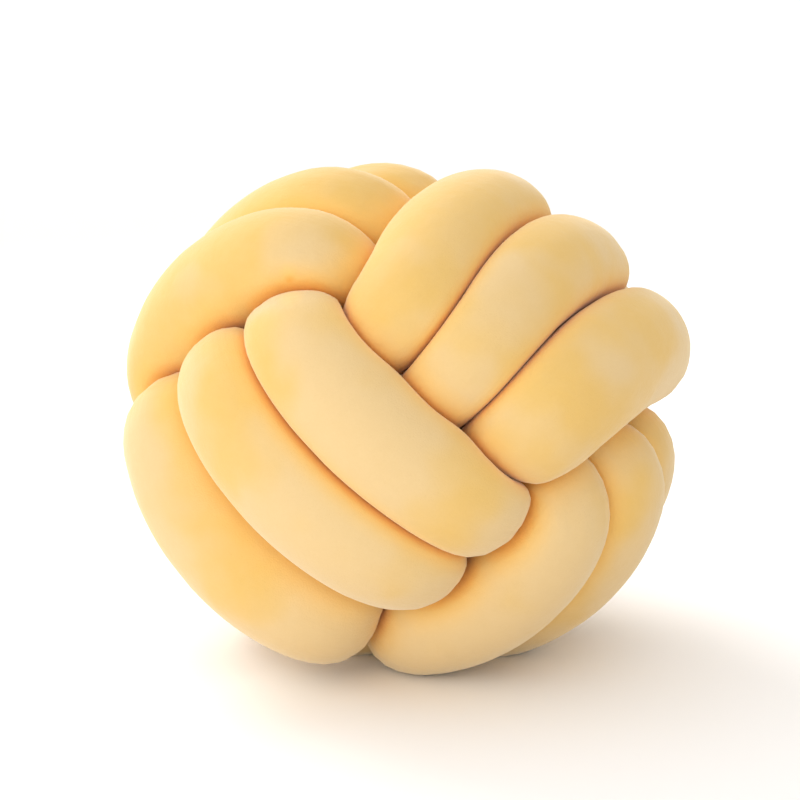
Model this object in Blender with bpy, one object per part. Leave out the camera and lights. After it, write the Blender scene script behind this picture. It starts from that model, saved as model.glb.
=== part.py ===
"""Knot cushion: one long stuffed velvet tube tied into a ball, a monkey's fist of three turns.

The tube makes three bands of three turns each. A band's turns lie side by side, pass over the
outside of the ball on two opposite faces, and dive under the next band on the two faces between.
Both ends of the tube are tucked inside. The tube is one closed solid. Its section is round where it
is free and flat where it presses on another turn, and the ball has small flats where it rests.

Metres, +Z up. The origin is under the middle of the ball, on the surface that it rests on.
"""

from collections import namedtuple

import bmesh
import bpy
import numpy as np

# Driving dimensions
PITCH = 0.0595  # between two turns that lie side by side, so nearly the tube's own thickness
SETTLED_HEIGHT = 0.94  # the ball's height over its width, as it sags under its own weight
REST_DEPTH = 0.0125  # how much of the lowest turns the surface presses flat
SEAM_GAP = 0.0016  # left between two turns that touch

# Proportions of the knot, in pitches and degrees
UNDER_REACH = 0.95  # centre of the ball to the tube's centre line where it passes underneath
UNDER_RADIUS = 0.50  # of the tube where it passes underneath
DIVE = 9.0  # half of the arc in which the tube turns from over to under
CONTACT_ROUNDING = 0.12  # how softly the round side meets the flat of a contact
ROUTE_SOFTNESS = 0.22  # how far the stuffing evens out a bend of the centre line
SURFACE_SOFTNESS = 0.10  # the same for the thickness
END_ROUNDING = 0.45  # length of the tube's rounded ends

# The mesh
CENTRE_POINTS = 1000
SECTIONS = 300
SIDES = 16
BEND_CROWDING = 0.45  # how many more sections a bend takes

# The way the faces of bands a and b look. Band c's looks along b x a.
FACE_A = (-0.51, -0.83, -0.23)
FACE_B = (0.54, -0.52, 0.67)

# Each band: the axes it goes out over, along and across (0, 1 and 2 are the faces of a, b and c),
# the angle it starts at, the way it turns, and its place across the ball each time it is underneath.
Band = namedtuple("Band", "over along across start way under")
BANDS = {
    "a": Band(0, 2, 1, 270, -1, (0.75, 1.0, 0.45, 0.0, -0.45, -1.0, -0.75)),
    "b": Band(1, 0, 2, -90, 1, (-0.75, -1.0, -0.45, 0.0, 0.45, 1.0, 0.75)),
    "c": Band(2, 1, 0, 90, 1, (-0.75, -1.0, -0.45, 0.0, 0.45, 1.0, 0.6)),
}

# Where one band turns into the next inside the ball, in pitches along the faces of a, b and c.
CORNERS = {"a": (-0.7, -0.85, -0.7), "b": (-0.7, 0.7, 0.8)}

# Each pass over the outside, in the order in which the tube makes them:
#   latitude      degrees off the band's middle, on the side that the band's across axis looks to
#   lean, bow     how many degrees of latitude it gains 45 degrees on: evenly, and as a curve
#   reach         centre of the ball to the tube's centre line, in pitches
#   before, after degrees from the middle of the pass to its dives, against and with the along axis
#   radius        of the free tube, in pitches
Pass = namedtuple("Pass", "latitude lean bow reach before after radius")
PASSES = {
    "a": (
        Pass(30.0, 0.0, 0.0, 1.90, 38, 38, 0.54),
        Pass(30.5, 0.6, -2.8, 1.89, 41, 45, 0.54),
        Pass(0.0, 0.0, 0.0, 1.90, 38, 38, 0.54),
        Pass(9.4, 1.0, 1.1, 1.88, 40, 38, 0.56),
        Pass(-30.0, 0.0, 0.0, 1.90, 38, 38, 0.54),
        Pass(-25.5, -1.6, 7.5, 1.91, 49, 39, 0.58),
    ),
    "b": (
        Pass(-23.2, 5.2, 12.6, 1.85, 38, 44, 0.54),
        Pass(-30.0, 0.0, 0.0, 1.90, 38, 38, 0.54),
        Pass(-1.6, 0.9, 11.2, 1.87, 38, 42, 0.55),
        Pass(0.0, 0.0, 0.0, 1.90, 38, 38, 0.54),
        Pass(22.5, -1.6, 2.6, 1.97, 42, 39, 0.56),
        Pass(30.0, 0.0, 0.0, 1.90, 38, 38, 0.54),
    ),
    "c": (
        Pass(-21.0, 0.0, 0.0, 1.83, 38, 42, 0.56),
        Pass(-22.0, -2.0, 0.0, 1.82, 38, 40, 0.56),
        Pass(4.2, 0.0, 0.0, 1.87, 38, 43, 0.56),
        Pass(3.5, -6.0, -1.0, 1.84, 38, 43, 0.56),
        Pass(28.0, 0.0, 0.0, 1.92, 38, 47, 0.56),
        Pass(30.0, -8.5, -1.5, 1.82, 38, 45, 0.57),
    ),
}

VELVET_COLOUR = (0.93, 0.64, 0.27, 1.0)
VELVET_ROUGHNESS = 0.9


def ease(x):
    """0 below 0, 1 above 1, and 3x^2 - 2x^3 between."""
    x = np.clip(x, 0, 1)
    return x * x * (3 - 2 * x)


def soft_minimum(a, b, width):
    """The smaller of a and b, rounded off where they are less than width apart."""
    near = np.clip(width - np.abs(a - b), 0, None) / width
    return np.minimum(a, b) - near**2 * width / 4


def softened(values, reach):
    """Values along the tube averaged with a bell curve of this many points, the ends held."""
    half = int(4 * reach) + 1
    bell = np.exp(-0.5 * (np.arange(-half, half + 1) / reach) ** 2)
    bell /= bell.sum()
    before = 2 * values[:1] - values[half:0:-1]
    after = 2 * values[-1:] - values[-2 : -half - 2 : -1]
    padded = np.concatenate([before, values, after])
    return np.stack([np.convolve(column, bell, "valid") for column in padded.T], axis=1)


def band_route(band, passes):
    """Centre line and free radius of one band.

    The tube goes round the ball through three whole turns. Its reach and its place across are those
    of the pass it is on while it is over, and those of the layer underneath in between.
    """
    travelled = np.arange(0, 1080.1, 2.0)
    reach = np.full(len(travelled), UNDER_REACH)
    radius = np.full(len(travelled), UNDER_RADIUS)
    across = np.interp(travelled, np.arange(7) * 180.0, band.under)
    for number, over in enumerate(passes):
        middle = 90.0 + 180.0 * number
        way = band.way * np.cos(np.radians(band.start + band.way * middle))
        angle = (travelled - middle) * way
        latitude = np.radians(over.latitude + over.lean * angle / 45 + over.bow * (angle / 45) ** 2)
        end = np.where(angle > 0, over.after, over.before)
        share = 1 - ease((np.abs(angle) - (end - DIVE)) / (2 * DIVE))
        share = np.where(np.abs(angle) <= 90, share, 0)
        reach += (over.reach * np.cos(latitude) - reach) * share
        across += (over.reach * np.sin(latitude) - across) * share
        radius += (over.radius - radius) * share
    angle = np.radians(band.start + band.way * travelled)
    points = np.zeros((len(travelled), 3))
    points[:, band.over] = reach * np.cos(angle)
    points[:, band.along] = reach * np.sin(angle)
    points[:, band.across] = across
    return points, radius


def whole_route():
    """Evenly spaced points of the whole centre line, in pitches, and the free radius at each."""
    points, radii = [], []
    for name, band in BANDS.items():
        route, radius = band_route(band, PASSES[name])
        points.append(route)
        radii.append(radius)
        if name in CORNERS:
            points.append(np.array([CORNERS[name]]))
            radii.append(np.array([UNDER_RADIUS]))
    points, radii = np.concatenate(points), np.concatenate(radii)
    lengths = np.linalg.norm(np.diff(points, axis=0), axis=1)
    along = np.concatenate([[0], np.cumsum(lengths)])
    even = np.linspace(0, along[-1], CENTRE_POINTS)
    route = np.stack([np.interp(even, along, column) for column in (*points.T, radii)], axis=1)
    route = softened(route, ROUTE_SOFTNESS / even[1])
    from_end = np.minimum(even, even[-1] - even)
    rounding = 1 - np.clip(1 - from_end / END_ROUNDING, 0, 1) ** 2
    return route[:, :3], route[:, 3] * np.sqrt(rounding), even


def spokes(points):
    """Unit vectors square to the centre line, SIDES to a point, carried along without twisting."""
    tangents = np.gradient(points, axis=0)
    tangents /= np.linalg.norm(tangents, axis=1, keepdims=True)
    first = np.zeros_like(points)
    side = np.array([0.0, 0.0, 1.0])
    for row, tangent in enumerate(tangents):
        side = side - side @ tangent * tangent
        side /= np.linalg.norm(side)
        first[row] = side
    second = np.cross(tangents, first)
    turn = np.linspace(0, 2 * np.pi, SIDES, endpoint=False)[None, :, None]
    return np.cos(turn) * first[:, None] + np.sin(turn) * second[:, None]


def room(points, directions):
    """How far each spoke runs before it is nearer to another point of the centre line.

    That is |d|^2 / (2 d.s) for the nearest such point, where d leads to it and s is the spoke. It
    stops the tube half way to its neighbours, and at the centre of its own tightest bends.
    """
    index = np.arange(len(points))
    found = np.empty(directions.shape[:2])
    for start in range(0, len(points), 50):
        rows = slice(start, start + 50)
        to_other = points[None] - points[rows, None]
        forward = np.einsum("rsk,rpk->rsp", directions[rows], to_other)
        squares = (to_other**2).sum(axis=2)[:, None]
        ahead = (forward > 1e-6) & (np.abs(index[None] - index[rows, None]) >= 4)[:, None]
        found[rows] = np.where(ahead, squares / (2 * np.maximum(forward, 1e-6)), 9).min(axis=2)
    return found


def tube_surface():
    """Rings of points on the tube's surface, in pitches along the faces of a, b and c."""
    points, radius, even = whole_route()
    directions = spokes(points)
    limit = room(points, directions) - SEAM_GAP / PITCH / 2
    thickness = softened(soft_minimum(limit, radius[:, None], CONTACT_ROUNDING), SURFACE_SOFTNESS / even[1])
    thickness = np.minimum(thickness, np.minimum(limit, radius[:, None]))
    bend = np.linalg.norm(np.gradient(np.gradient(points, even, axis=0), even, axis=0), axis=1)
    crowding = np.cumsum(1 + BEND_CROWDING * bend)
    chosen = np.interp(np.linspace(crowding[0], crowding[-1], SECTIONS), crowding, np.arange(len(even)))
    chosen = np.unique(np.round(chosen[1:-1]).astype(int))
    rings = points[chosen, None] + thickness[chosen, :, None] * directions[chosen]
    return rings, points[[0, -1]]


def settled(points):
    """Points turned to the way the ball lies, in metres, and sagged under its weight."""
    face_a = np.array(FACE_A) / np.linalg.norm(FACE_A)
    face_b = np.array(FACE_B) - np.array(FACE_B) @ face_a * face_a
    face_b /= np.linalg.norm(face_b)
    faces = np.array([face_a, face_b, np.cross(face_b, face_a)])
    return points @ faces * PITCH * (1, 1, SETTLED_HEIGHT)


def velvet_material():
    material = bpy.data.materials.new("velvet")
    material.use_nodes = True
    shader = material.node_tree.nodes["Principled BSDF"]
    shader.inputs["Base Color"].default_value = VELVET_COLOUR
    shader.inputs["Roughness"].default_value = VELVET_ROUGHNESS
    shader.inputs["Metallic"].default_value = 0.0
    return material


def knotted_tube():
    """The tube as one closed mesh: a strip of faces between each two rings, and a fan at each end."""
    rings, ends = tube_surface()
    rings, ends = settled(rings), settled(ends)
    floor = rings[..., 2].min() + REST_DEPTH
    rings[..., 2] = np.maximum(rings[..., 2], floor)
    low, high = rings.min(axis=(0, 1)), rings.max(axis=(0, 1))
    origin = np.array([(low[0] + high[0]) / 2, (low[1] + high[1]) / 2, floor])

    mesh = bmesh.new()
    loops = [[mesh.verts.new(point) for point in ring - origin] for ring in rings]
    for one, other in zip(loops, loops[1:]):
        for side in range(SIDES):
            after = (side + 1) % SIDES
            mesh.faces.new((one[side], one[after], other[after], other[side]))
    for loop, end in ((loops[0], ends[0]), (loops[-1], ends[-1])):
        tip = mesh.verts.new(end - origin)
        for side in range(SIDES):
            mesh.faces.new((tip, loop[side], loop[(side + 1) % SIDES]))
    bmesh.ops.triangulate(mesh, faces=mesh.faces)
    bmesh.ops.recalc_face_normals(mesh, faces=mesh.faces)
    data = bpy.data.meshes.new("knotted_tube")
    mesh.to_mesh(data)
    mesh.free()
    data.shade_smooth()
    data.materials.append(velvet_material())
    tube = bpy.data.objects.new("knotted_tube", data)
    bpy.context.scene.collection.objects.link(tube)


for leftover in list(bpy.data.objects):
    bpy.data.objects.remove(leftover, do_unlink=True)
knotted_tube()
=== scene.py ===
import math
from collections import namedtuple

import bpy
import numpy as np
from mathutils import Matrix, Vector


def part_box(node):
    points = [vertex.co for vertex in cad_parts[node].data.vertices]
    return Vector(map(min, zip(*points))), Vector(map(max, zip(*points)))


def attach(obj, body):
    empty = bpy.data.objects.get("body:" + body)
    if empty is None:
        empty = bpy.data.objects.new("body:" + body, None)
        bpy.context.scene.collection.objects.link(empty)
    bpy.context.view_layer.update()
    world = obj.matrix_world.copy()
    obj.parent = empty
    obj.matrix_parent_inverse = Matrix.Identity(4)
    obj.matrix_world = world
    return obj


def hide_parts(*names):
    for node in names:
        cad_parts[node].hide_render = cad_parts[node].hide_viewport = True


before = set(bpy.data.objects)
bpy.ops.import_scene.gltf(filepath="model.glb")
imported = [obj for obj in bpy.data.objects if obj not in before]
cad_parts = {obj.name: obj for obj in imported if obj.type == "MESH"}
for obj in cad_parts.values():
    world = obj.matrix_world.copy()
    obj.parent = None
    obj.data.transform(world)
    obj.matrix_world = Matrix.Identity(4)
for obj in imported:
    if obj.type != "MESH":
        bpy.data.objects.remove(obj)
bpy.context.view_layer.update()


# --- The stuffed tube ---------------------------------------------------------------------------
# One long sleeve of short-pile velvet, sewn down its length, stuffed with fibre and tied into a
# three-turn ball knot. The turns press each other flat where they meet and stay round where they
# are free; both ends are tucked inside the ball.

PITCH = 0.0595  # between two turns that lie side by side, in metres
SETTLED_HEIGHT = 0.94  # the ball's height over its width
REST_DEPTH = 0.0125  # how much of the lowest turns the surface presses flat, in metres
SEAM_GAP = 0.0007  # left between two turns that touch, in metres

UNDER_REACH = 0.95  # from the ball's middle to the layer underneath, in pitches
UNDER_RADIUS = 0.50  # of a free turn of that layer, in pitches
DIVE = 9.0  # half of the angle in which a turn dives under the next band, in degrees
BAND_TRAVEL = 1080  # three turns, in degrees
TRAVEL_STEP = 2.0

# Distances over which the centre line and the skin are smoothed, in pitches.
ROUTE_SOFTNESS = 0.22
CONTACT_ROUNDING = 0.12
SURFACE_SOFTNESS = 0.10
PIT_SOFTNESS = 0.08
END_ROUNDING = 0.45
PIT_PASSES = 2

CENTRE_POINTS = 1500
SIDES = 60
OWN_TURN = 6  # points of the centre line on each side that belong to the same stretch
OPEN_ROOM = 9.0  # the room given to a spoke that meets no other turn, in pitches
ROWS_AT_ONCE = 25

# The middles of the faces that bands a and b cross in front, seen from the ball's middle.
FACE_A = (-0.51, -0.83, -0.23)
FACE_B = (0.54, -0.52, 0.67)

# A band goes round in the plane of two of the ball's axes, over and along, and its turns lie side
# by side on the third, across. It starts at an angle and runs one way round. Under gives the
# place across, in pitches, at each half turn, where it lies under another band.
Band = namedtuple("Band", "over along across start way under")
BANDS = {
    "a": Band(0, 2, 1, 270, -1, (0.75, 1.0, 0.45, 0.0, -0.45, -1.0, -0.75)),
    "b": Band(1, 0, 2, -90, 1, (-0.75, -1.0, -0.45, 0.0, 0.45, 1.0, 0.75)),
    "c": Band(2, 1, 0, 90, 1, (-0.75, -1.0, -0.45, 0.0, 0.45, 1.0, 0.6)),
}
CORNERS = {"a": (-0.7, -0.85, -0.7), "b": (-0.7, 0.7, 0.8)}  # after these bands, in pitches

# A pass over the ball: its place across as a latitude, how much that leans and bows by 45 degrees
# from its middle, its centre line's distance from the ball's middle, how many degrees before and
# after its middle it dives, and its free radius. Angles in degrees, the rest in pitches.
Pass = namedtuple("Pass", "latitude lean bow reach before after radius")
PASSES = {
    "a": (
        Pass(30.0, 0.0, 0.0, 1.90, 38, 38, 0.54),
        Pass(30.5, 0.6, -2.8, 1.89, 41, 45, 0.54),
        Pass(0.0, 0.0, 0.0, 1.90, 38, 38, 0.54),
        Pass(9.4, 1.0, 1.1, 1.88, 40, 38, 0.56),
        Pass(-30.0, 0.0, 0.0, 1.90, 38, 38, 0.54),
        Pass(-25.5, -1.6, 7.5, 1.91, 49, 39, 0.58),
    ),
    "b": (
        Pass(-23.2, 5.2, 12.6, 1.85, 38, 44, 0.54),
        Pass(-30.0, 0.0, 0.0, 1.90, 38, 38, 0.54),
        Pass(-1.6, 0.9, 11.2, 1.87, 38, 42, 0.55),
        Pass(0.0, 0.0, 0.0, 1.90, 38, 38, 0.54),
        Pass(22.5, -1.6, 2.6, 1.97, 42, 39, 0.56),
        Pass(30.0, 0.0, 0.0, 1.90, 38, 38, 0.54),
    ),
    "c": (
        Pass(-21.0, 0.0, 0.0, 1.83, 38, 42, 0.56),
        Pass(-22.0, -2.0, 0.0, 1.82, 38, 40, 0.56),
        Pass(4.2, 0.0, 0.0, 1.87, 38, 43, 0.56),
        Pass(3.5, -6.0, -1.0, 1.84, 38, 43, 0.56),
        Pass(28.0, 0.0, 0.0, 1.92, 38, 47, 0.56),
        Pass(30.0, -8.5, -1.5, 1.82, 38, 45, 0.57),
    ),
}


def ease(x):
    """0 below 0, 1 above 1, and 3x^2 - 2x^3 between."""
    x = np.clip(x, 0, 1)
    return x * x * (3 - 2 * x)


def soft_minimum(a, b, width):
    """The smaller of a and b, rounded off where they are less than width apart."""
    near = np.clip(width - np.abs(a - b), 0, None) / width
    return np.minimum(a, b) - near**2 * width / 4


def softened(values, reach):
    """Values along the tube averaged with a bell curve of this many points, the ends held."""
    half = int(4 * reach) + 1
    bell = np.exp(-0.5 * (np.arange(-half, half + 1) / reach) ** 2)
    bell /= bell.sum()
    before = 2 * values[:1] - values[half:0:-1]
    after = 2 * values[-1:] - values[-2 : -half - 2 : -1]
    padded = np.concatenate([before, values, after])
    return np.stack([np.convolve(column, bell, "valid") for column in padded.T], axis=1)


def band_route(band, passes):
    """Centre line of one band: three turns round the ball, over on two faces and under on two.

    In the band's plane the point is reach (cos t, sin t); reach and the place across are those of
    the pass while it is over, and those of the layer underneath in between.
    """
    travelled = np.arange(0, BAND_TRAVEL + 1, TRAVEL_STEP)
    reach = np.full(len(travelled), UNDER_REACH)
    radius = np.full(len(travelled), UNDER_RADIUS)
    across = np.interp(travelled, np.arange(len(band.under)) * 180.0, band.under)
    for number, over in enumerate(passes):
        middle = 90.0 + 180.0 * number
        way = band.way * np.cos(np.radians(band.start + band.way * middle))
        angle = (travelled - middle) * way
        latitude = np.radians(over.latitude + over.lean * angle / 45 + over.bow * (angle / 45) ** 2)
        end = np.where(angle > 0, over.after, over.before)
        share = 1 - ease((np.abs(angle) - (end - DIVE)) / (2 * DIVE))
        share = np.where(np.abs(angle) <= 90, share, 0)
        reach += (over.reach * np.cos(latitude) - reach) * share
        across += (over.reach * np.sin(latitude) - across) * share
        radius += (over.radius - radius) * share
    angle = np.radians(band.start + band.way * travelled)
    route = np.zeros((len(travelled), 4))
    route[:, band.over] = reach * np.cos(angle)
    route[:, band.along] = reach * np.sin(angle)
    route[:, band.across] = across
    route[:, 3] = radius
    return route


def whole_route():
    """The whole centre line: its points, evenly spaced, the free radius and the length at each.

    The three bands and the corners between them, joined and smoothed, all in pitches. Near its
    ends the radius falls as a quarter of an ellipse.
    """
    stretches = []
    for name, band in BANDS.items():
        stretches.append(band_route(band, PASSES[name]))
        if name in CORNERS:
            stretches.append(np.array([(*CORNERS[name], UNDER_RADIUS)]))
    route = np.concatenate(stretches)
    lengths = np.linalg.norm(np.diff(route[:, :3], axis=0), axis=1)
    along = np.concatenate([[0], np.cumsum(lengths)])
    even = np.linspace(0, along[-1], CENTRE_POINTS)
    route = np.stack([np.interp(even, along, column) for column in route.T], axis=1)
    route = softened(route, ROUTE_SOFTNESS / even[1])
    from_end = np.minimum(even, even[-1] - even)
    rounding = 1 - np.clip(1 - from_end / END_ROUNDING, 0, 1) ** 2
    return route[:, :3], route[:, 3] * np.sqrt(rounding), even


def spokes(points):
    """Unit vectors square to the centre line, SIDES to a point, carried along without twisting.

    Each is cos t times one side of the line plus sin t times the other, for t once round.
    """
    tangents = np.gradient(points, axis=0)
    tangents /= np.linalg.norm(tangents, axis=1, keepdims=True)
    first = np.zeros_like(points)
    side = np.array([0.0, 0.0, 1.0])
    for row, tangent in enumerate(tangents):
        side = side - side @ tangent * tangent
        side /= np.linalg.norm(side)
        first[row] = side
    second = np.cross(tangents, first)
    turn = np.linspace(0, 2 * np.pi, SIDES, endpoint=False)[None, :, None]
    return np.cos(turn) * first[:, None] + np.sin(turn) * second[:, None]


def room(points, directions):
    """How far each spoke runs before it is nearer to another point of the centre line.

    That is |d|^2 / (2 d.s) for the nearest such point, where d leads to it and s is the spoke.
    """
    index = np.arange(len(points))
    found = np.empty(directions.shape[:2])
    tiny = 1e-6
    for start in range(0, len(points), ROWS_AT_ONCE):
        rows = slice(start, start + ROWS_AT_ONCE)
        to_other = points[None] - points[rows, None]
        forward = directions[rows] @ to_other.transpose(0, 2, 1)
        squares = (to_other**2).sum(axis=2)[:, None]
        other_turn = (np.abs(index[None] - index[rows, None]) >= OWN_TURN)[:, None]
        reached = squares / (2 * np.maximum(forward, tiny))
        found[rows] = np.where((forward > tiny) & other_turn, reached, OPEN_ROOM).min(axis=2)
    return found


def pressed_skin(limit, radius, spacing):
    """How far the skin is from the centre line along each spoke, in pitches.

    The smaller of the free radius and the room, rounded where they are nearly the same and
    averaged along and round the tube.
    """
    skin = soft_minimum(limit, radius, CONTACT_ROUNDING)
    skin = softened(skin, SURFACE_SOFTNESS / spacing)
    skin = np.minimum(skin, np.minimum(limit, radius))
    skin = softened(skin, PIT_SOFTNESS / spacing)
    for _ in range(PIT_PASSES):
        skin = skin / 2 + (np.roll(skin, 1, axis=1) + np.roll(skin, -1, axis=1)) / 4
    return skin


STRAIGHT_CURVATURE = 0.9  # a turn that bends no more than this has no gathers, in 1 / pitches
BENT_CURVATURE = 1.8  # and one that bends this much has all of them
GATHERS = 13  # round the tube
GATHER_SWAY = 3.0  # in radians, GATHER_SWAYS times in 2 pi pitches
GATHER_SWAYS = 2.1
GATHER_PATCHES = 1.3  # in 2 pi pitches
GATHER_DEPTH = 0.0004
WRINKLES = 7.3  # in 2 pi pitches
WRINKLE_SLANT = 1.7  # in radians
WRINKLE_DEPTH = 0.0002


def bending(points, even):
    """0 where the centre line is nearly straight and 1 where it bends sharply.

    Eased between the two curvatures, which are the length of its second derivative.
    """
    second = np.gradient(np.gradient(points, even, axis=0), even, axis=0)
    curvature = np.linalg.norm(second, axis=1)
    return ease((curvature - STRAIGHT_CURVATURE) / (BENT_CURVATURE - STRAIGHT_CURVATURE))[:, None]


def drawn_in(even, bent):
    """How much gathers in the bends and faint wrinkles draw the skin in, in pitches.

    A gather is the positive part of a wave round the tube times a slow wave along it. A wrinkle
    is the top of a wave along it.
    """
    along = even[:, None]
    turn = np.linspace(0, 2 * np.pi, SIDES, endpoint=False)[None]
    waves = np.sin(GATHERS * turn + GATHER_SWAY * np.sin(GATHER_SWAYS * along))
    gathers = np.clip(waves * np.sin(GATHER_PATCHES * along + 2 * turn), 0, None)
    wrinkles = ease(2 * np.sin(WRINKLES * along + WRINKLE_SLANT * np.sin(turn + along)) - 1)
    return (GATHER_DEPTH * bent * gathers + WRINKLE_DEPTH * wrinkles) / PITCH


def settled(points):
    """Points turned to the way the ball lies, in metres, and sagged under its weight.

    The ball's three axes are the middles of faces a and b, made square, and the third to them.
    """
    face_a = np.array(FACE_A) / np.linalg.norm(FACE_A)
    face_b = np.array(FACE_B) - np.array(FACE_B) @ face_a * face_a
    face_b /= np.linalg.norm(face_b)
    faces = np.array([face_a, face_b, np.cross(face_b, face_a)])
    return points @ faces * PITCH * (1, 1, SETTLED_HEIGHT)


def tube_skin(name, rings, tips, uv_scale):
    """A closed tube mesh of these rings, with a fan at each end.

    The UV map is the way along and the way round, in metres.
    """
    count, sides = rings.shape[:2]
    points = np.concatenate([rings.reshape(-1, 3), tips])
    row, column = np.meshgrid(np.arange(count - 1), np.arange(sides), indexing="ij")
    here = row * sides
    there = here + sides
    after = (column + 1) % sides
    quads = np.stack([here + column, here + after, there + after, there + column], axis=-1)
    side = np.arange(sides)
    next_side = (side + 1) % sides
    last = (count - 1) * sides
    start_fan = np.stack([np.full(sides, count * sides), next_side, side], axis=1)
    end_fan = np.stack([np.full(sides, count * sides + 1), last + side, last + next_side], axis=1)
    mesh = bpy.data.meshes.new(name)
    mesh.from_pydata(points, [], [*quads.reshape(-1, 4).tolist(), *start_fan.tolist(), *end_fan.tolist()])
    u = np.stack([row, row, row + 1, row + 1], axis=-1).reshape(-1) * uv_scale[0]
    v = np.stack([column, column + 1, column + 1, column], axis=-1).reshape(-1) * uv_scale[1]
    fans = np.zeros((6 * sides, 2))
    layer = mesh.uv_layers.new(name="along")
    layer.data.foreach_set("uv", np.concatenate([np.stack([u, v], axis=1), fans]).ravel())
    mesh.shade_smooth()
    return mesh


def faces_outward(mesh):
    """True if the mesh's signed volume, the sum of its triangles' determinants, is positive."""
    mesh.calc_loop_triangles()
    points = np.empty(len(mesh.vertices) * 3, np.float32)
    mesh.vertices.foreach_get("co", points)
    faces = np.empty(len(mesh.loop_triangles) * 3, np.int32)
    mesh.loop_triangles.foreach_get("vertices", faces)
    corners = points.reshape(-1, 3)[faces.reshape(-1, 3)]
    return np.linalg.det(corners).sum() > 0


def add_attribute(mesh, name, values):
    """A number for each vertex, which the material reads by this name."""
    mesh.attributes.new(name, "FLOAT", "POINT").data.foreach_set("value", values.astype(np.float32))


points, radius, even = whole_route()
directions = spokes(points)
limit = room(points, directions) - SEAM_GAP / PITCH / 2
bent = bending(points, even)
skin = pressed_skin(limit, radius[:, None], even[1]) - drawn_in(even, bent)

# The ball is lowered until its lowest turns are pressed flat, and set over the solid's middle.
rings = settled(points[1:-1, None] + skin[1:-1, :, None] * directions[1:-1])
tips = settled(points[[0, -1]])
floor_height = rings[..., 2].min() + REST_DEPTH
rings[..., 2] = np.maximum(rings[..., 2], floor_height)
low, high = rings.min(axis=(0, 1)), rings.max(axis=(0, 1))
solid_middle = np.array(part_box("knotted_tube")).mean(axis=0)
shift = np.array([*(solid_middle - (low + high) / 2)[:2], -floor_height])
uv_scale = (even[1] * PITCH, math.pi * PITCH / SIDES)
tube_mesh = tube_skin("stuffed_tube", rings + shift, tips + shift, uv_scale)
if not faces_outward(tube_mesh):
    tube_mesh.flip_normals()

CREASE_SHADING_REACH = 0.14  # how far from a neighbour the painted crease light and shade reach, in pitches
# Near a neighbouring turn the pile gets painted warm bounce light, and in the crease painted shade.
crease_shading = np.exp(-np.clip(limit - skin, 0, None) / CREASE_SHADING_REACH)[1:-1].ravel()
add_attribute(tube_mesh, "crease_shading", np.append(crease_shading, (1, 1)))
add_attribute(tube_mesh, "bent", np.append(np.broadcast_to(bent, skin.shape)[1:-1].ravel(), (0, 0)))
stuffed_tube = bpy.data.objects.new("stuffed_tube", tube_mesh)
bpy.context.scene.collection.objects.link(stuffed_tube)


class Value:
    """A shader socket, with its tree. Arithmetic on it adds Math nodes."""

    def __init__(self, tree, socket):
        self.tree = tree
        self.socket = socket

    @classmethod
    def node(cls, tree, kind, settings=None, inputs=None, output=0):
        """A node of this type: its settings made first, then its inputs set or linked."""
        node = tree.nodes.new(kind)
        for name, value in (settings or {}).items():
            setattr(node, name, value)
        for name, value in (inputs or {}).items():
            connect(value, node.inputs[name])
        return cls(tree, node.outputs[output])

    def maths(self, operation, other=0.0):
        """This value and another one put through a Math node."""
        return self.node(self.tree, "ShaderNodeMath", {"operation": operation}, {0: self, 1: other})

    def __add__(self, other):
        return self.maths("ADD", other)

    def __mul__(self, other):
        return self.maths("MULTIPLY", other)

    def __sub__(self, other):
        return self.maths("SUBTRACT", other)

    def __rsub__(self, other):
        return (self * -1).maths("ADD", other)

    __radd__ = __add__
    __rmul__ = __mul__


def connect(value, slot):
    """Links a value to an input, or sets the input to a plain number or colour."""
    if isinstance(value, Value):
        value.tree.links.new(value.socket, slot)
    else:
        slot.default_value = value


def colour_mix(factor, one, two):
    """One colour at factor 0, the other at 1."""
    return Value.node(factor.tree, "ShaderNodeMix", {"data_type": "RGBA"}, {0: factor, 6: one, 7: two}, 2)


def noise(place, scale, detail, roughness):
    """Cloudy values around a half, this many to a metre or to a unit of the place."""
    inputs = {"Vector": place, "Scale": scale, "Detail": detail, "Roughness": roughness}
    return Value.node(place.tree, "ShaderNodeTexNoise", None, inputs)


# The velvet's colours: where the pile lies pale or yellow, painted warm bounce light near a crease,
# painted shade deep in it, at the lit tips and the shaded roots of the pile, and of its sheen.
PALE = (0.71, 0.51, 0.25, 1)
YELLOW = (0.72, 0.46, 0.13, 1)
# Painted light: a warm bounce glow beside each crease, and a painted shade in it.
CREASE_BOUNCE_LIGHT = (0.92, 0.57, 0.15, 1)
CREASE_SHADE = (0.90, 0.42, 0.07, 1)
LIGHT = (0.76, 0.58, 0.33, 1)
SHADED = (0.60, 0.36, 0.12, 1)
SHEEN = (1.0, 0.92, 0.76, 1)
CREASE_BOUNCE_GAIN = 1.15
CREASE_SHADE_GAIN = 3.0  # the painted crease shade is this times how near a crease the pile is, less the start
CREASE_SHADE_START = 2.0
CREASE_SHADE_SHARE = 0.85
LIGHT_SHARE = 0.2
SHADED_SHARE = 0.15

CLOUD_SCALE = 17.0
CLOUD_RISE = 1.5  # how much more of the yellow there is for each metre up
CLOUD_START = -0.19
CLOUD_EDGES = (0.42, 0.66)
BRUSHED_SCALE = 140.0
BRUSHED_DEPTH = 0.0006
NAP_SCALE = 1400.0
NAP_DEPTH = 0.0002
PLEAT_SCALE = (70.0, 420.0, 1.0)  # along and round the tube
PLEAT_DEPTH = 0.00025

# A hand stitch holds a turn to the one in front of it, at the bottom of a small dimple on the ball's
# front: its place across from the middle and up from the floor, its size and depth. The dimple is
# dented by the bump and coloured with the creases' painted bounce light and shade.
STITCH_ACROSS = -0.88 * PITCH
STITCH_UP = 3.30 * PITCH
STITCH_SIZE = 0.17 * PITCH
STITCH_DEPTH = 0.015 * PITCH


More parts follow.
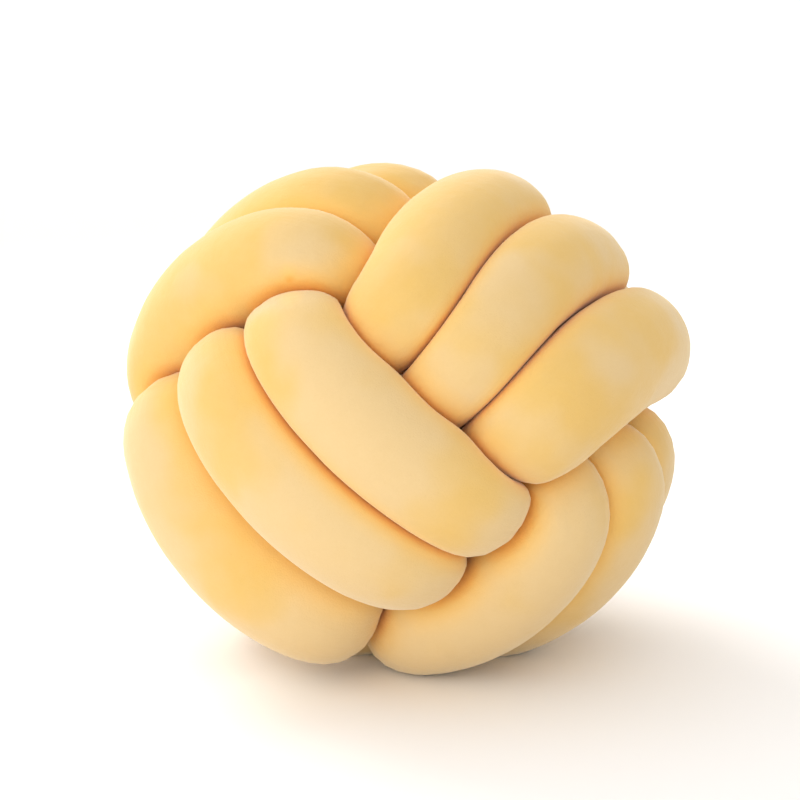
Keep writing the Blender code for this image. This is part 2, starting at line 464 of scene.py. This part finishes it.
def stitch_dimple(place):
    """1 at the stitch, falling evenly to 0 at its size, on the front of the ball only."""
    separated = [Value.node(place.tree, "ShaderNodeSeparateXYZ", None, {0: place}, axis) for axis in "XYZ"]
    aside = separated[0] - STITCH_ACROSS
    above = separated[2] - STITCH_UP
    away = (aside * aside + above * above).maths("SQRT")
    dimple = (1 - away * (1 / STITCH_SIZE)).maths("MAXIMUM", 0.0)
    return dimple * separated[1].maths("LESS_THAN", -PITCH)


def velvet():
    """Short-pile velvet: matt, with a soft sheen, cloudy where the pile leans another way."""
    material = bpy.data.materials.new("velvet")
    material.use_nodes = True
    tree = material.node_tree
    shader = tree.nodes["Principled BSDF"]
    place = Value.node(tree, "ShaderNodeTexCoord", output="Object")
    # How near a crease: the mask of the painted bounce light and shade.
    crease_shading = Value.node(tree, "ShaderNodeAttribute", {"attribute_name": "crease_shading"}, output="Fac")
    bent = Value.node(tree, "ShaderNodeAttribute", {"attribute_name": "bent"}, output="Fac")
    up = Value.node(tree, "ShaderNodeSeparateXYZ", None, {0: place}, "Z")
    along = Value.node(tree, "ShaderNodeUVMap", {"uv_map": "along"})
    stretched = Value.node(tree, "ShaderNodeMapping", None, {"Vector": along, "Scale": PLEAT_SCALE})
    cloud = noise(place, CLOUD_SCALE, 2.0, 0.5) + up * CLOUD_RISE + CLOUD_START
    edges = {"Value": cloud, "From Min": CLOUD_EDGES[0], "From Max": CLOUD_EDGES[1]}
    patch = Value.node(tree, "ShaderNodeMapRange", {"interpolation_type": "SMOOTHSTEP"}, edges)
    nap = noise(place, NAP_SCALE, 2.0, 0.6)
    brushed = noise(place, BRUSHED_SCALE, 3.0, 0.6)
    pleats = noise(stretched, 1.0, 1.0, 0.5)
    dimple = stitch_dimple(place)
    # The stitch dimple takes the creases' painted bounce light and shade.
    crease_shading = crease_shading.maths("MAXIMUM", dimple)
    crown = colour_mix(patch, PALE, YELLOW)
    # Painted warm bounce light beside the creases, then painted shade deep in them.
    bounce_lit = colour_mix((crease_shading * CREASE_BOUNCE_GAIN).maths("MINIMUM", 1.0), crown, CREASE_BOUNCE_LIGHT)
    crease_shade_amount = (crease_shading * CREASE_SHADE_GAIN - CREASE_SHADE_START).maths("MAXIMUM", 0.0)
    base = colour_mix(crease_shade_amount * CREASE_SHADE_SHARE, bounce_lit, CREASE_SHADE)
    fine = colour_mix(brushed * LIGHT_SHARE, base, LIGHT)
    connect(colour_mix(nap * SHADED_SHARE, fine, SHADED), shader.inputs["Base Color"])
    shader.inputs["Roughness"].default_value = 0.95
    shader.inputs["Specular IOR Level"].default_value = 0.12
    shader.inputs["Sheen Weight"].default_value = 0.5
    shader.inputs["Sheen Roughness"].default_value = 0.45
    shader.inputs["Sheen Tint"].default_value = SHEEN
    height = nap * NAP_DEPTH + brushed * BRUSHED_DEPTH + pleats * bent * PLEAT_DEPTH
    height = height - dimple * STITCH_DEPTH
    bump_inputs = {"Height": height, "Strength": 0.6, "Distance": 1.0}
    connect(Value.node(tree, "ShaderNodeBump", None, bump_inputs), shader.inputs["Normal"])
    return material


stuffed_tube.data.materials.append(velvet())
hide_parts("knotted_tube")
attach(stuffed_tube, "root")


# --- The floor ----------------------------------------------------------------------------------
# A plain sheet of pale paper that runs far out in front and to the sides, and curves up behind
# the ball, so that no horizon shows there. All sizes in metres.

FLOOR_WIDTH = 40.0
FLOOR_FRONT = -80.0
FLOOR_BACK = 3.0
SWEEP_RADIUS = 1.5
SWEEP_HEIGHT = 5.0
SWEEP_STEPS = 25
PAPER = (0.97, 0.96, 0.95, 1)


def sweep_mesh():
    """A flat stretch, a quarter circle and an upright stretch, the same all along x."""
    turn = np.linspace(0, math.pi / 2, SWEEP_STEPS)
    bend_y = FLOOR_BACK + SWEEP_RADIUS * np.sin(turn)
    bend_z = SWEEP_RADIUS * (1 - np.cos(turn))
    y = np.concatenate([[FLOOR_FRONT], bend_y, [FLOOR_BACK + SWEEP_RADIUS]])
    z = np.concatenate([[0], bend_z, [SWEEP_HEIGHT]])
    count = len(y)
    left = np.stack([np.full(count, -FLOOR_WIDTH / 2), y, z], axis=1)
    right = left * (-1, 1, 1)
    row = np.arange(count - 1)
    quads = np.stack([row, row + count, row + count + 1, row + 1], axis=1)
    mesh = bpy.data.meshes.new("floor")
    mesh.from_pydata(np.concatenate([left, right]), [], quads.tolist())
    mesh.shade_smooth()
    return mesh


def pale_paper():
    """Matt off-white studio paper."""
    material = bpy.data.materials.new("pale_paper")
    material.use_nodes = True
    shader = material.node_tree.nodes["Principled BSDF"]
    shader.inputs["Base Color"].default_value = PAPER
    shader.inputs["Roughness"].default_value = 0.9
    shader.inputs["Specular IOR Level"].default_value = 0.1
    return material


floor = bpy.data.objects.new("floor", sweep_mesh())
bpy.context.scene.collection.objects.link(floor)
floor.data.materials.append(pale_paper())


# --- The light ----------------------------------------------------------------------------------
# A pale room, brighter on the left, one large soft light high at the back left, and a weaker one
# in front.

LIT_MIDDLE = (0, 0, 0.12)
ROOM_STRENGTH = 1.05
ROOM_FALL = 0.5  # how much weaker the room is at its right than at its middle


def soft_light(name, size, power, place, colour=(1, 1, 1)):
    """A square light of this width and power, turned towards the ball."""
    lamp = bpy.data.lights.new(name, "AREA")
    lamp.shape = "SQUARE"
    lamp.size = size
    lamp.energy = power
    lamp.color = colour
    light = bpy.data.objects.new(name, lamp)
    light.location = place
    light.rotation_euler = (Vector(LIT_MIDDLE) - Vector(place)).to_track_quat("-Z", "Y").to_euler()
    bpy.context.scene.collection.objects.link(light)


soft_light("key_light", 1.2, 26, (-1.1, 1.3, 1.5), (1.0, 0.98, 0.95))
soft_light("front_light", 2.0, 18, (-0.8, -2.4, 0.6))

world = bpy.data.worlds.new("room")
bpy.context.scene.world = world
world.use_nodes = True
sky = Value.node(world.node_tree, "ShaderNodeTexCoord", output="Generated")
rightward = Value.node(world.node_tree, "ShaderNodeSeparateXYZ", None, {0: sky}, "X")
background = world.node_tree.nodes["Background"]
background.inputs["Color"].default_value = (1.0, 1.0, 1.0, 1)
connect(ROOM_STRENGTH - rightward * ROOM_FALL, background.inputs["Strength"])
bpy.context.scene.view_settings.view_transform = "Standard"


# --- The camera ---------------------------------------------------------------------------------
# A long lens, a little above the ball and square to its front. Its frame takes in the ball and
# the floor close round it.

CAMERA_DISTANCE = 14 * PITCH
CAMERA_ELEVATION = math.radians(10)
FRAME_WIDTH = 6.9 * PITCH  # what the frame takes in at the ball's middle
FRAME_SHIFT = (-0.010, 0.019)  # in frame widths

lens = bpy.data.cameras.new("camera")
lens.angle = 2 * math.atan(FRAME_WIDTH / 2 / CAMERA_DISTANCE)
lens.shift_x, lens.shift_y = FRAME_SHIFT
lens.clip_start = 0.01
camera = bpy.data.objects.new("camera", lens)
backward = Vector((0, -math.cos(CAMERA_ELEVATION), math.sin(CAMERA_ELEVATION)))
camera.location = Vector(shift) + CAMERA_DISTANCE * backward
camera.rotation_euler = (math.pi / 2 - CAMERA_ELEVATION, 0, 0)
bpy.context.scene.collection.objects.link(camera)
bpy.context.scene.camera = camera
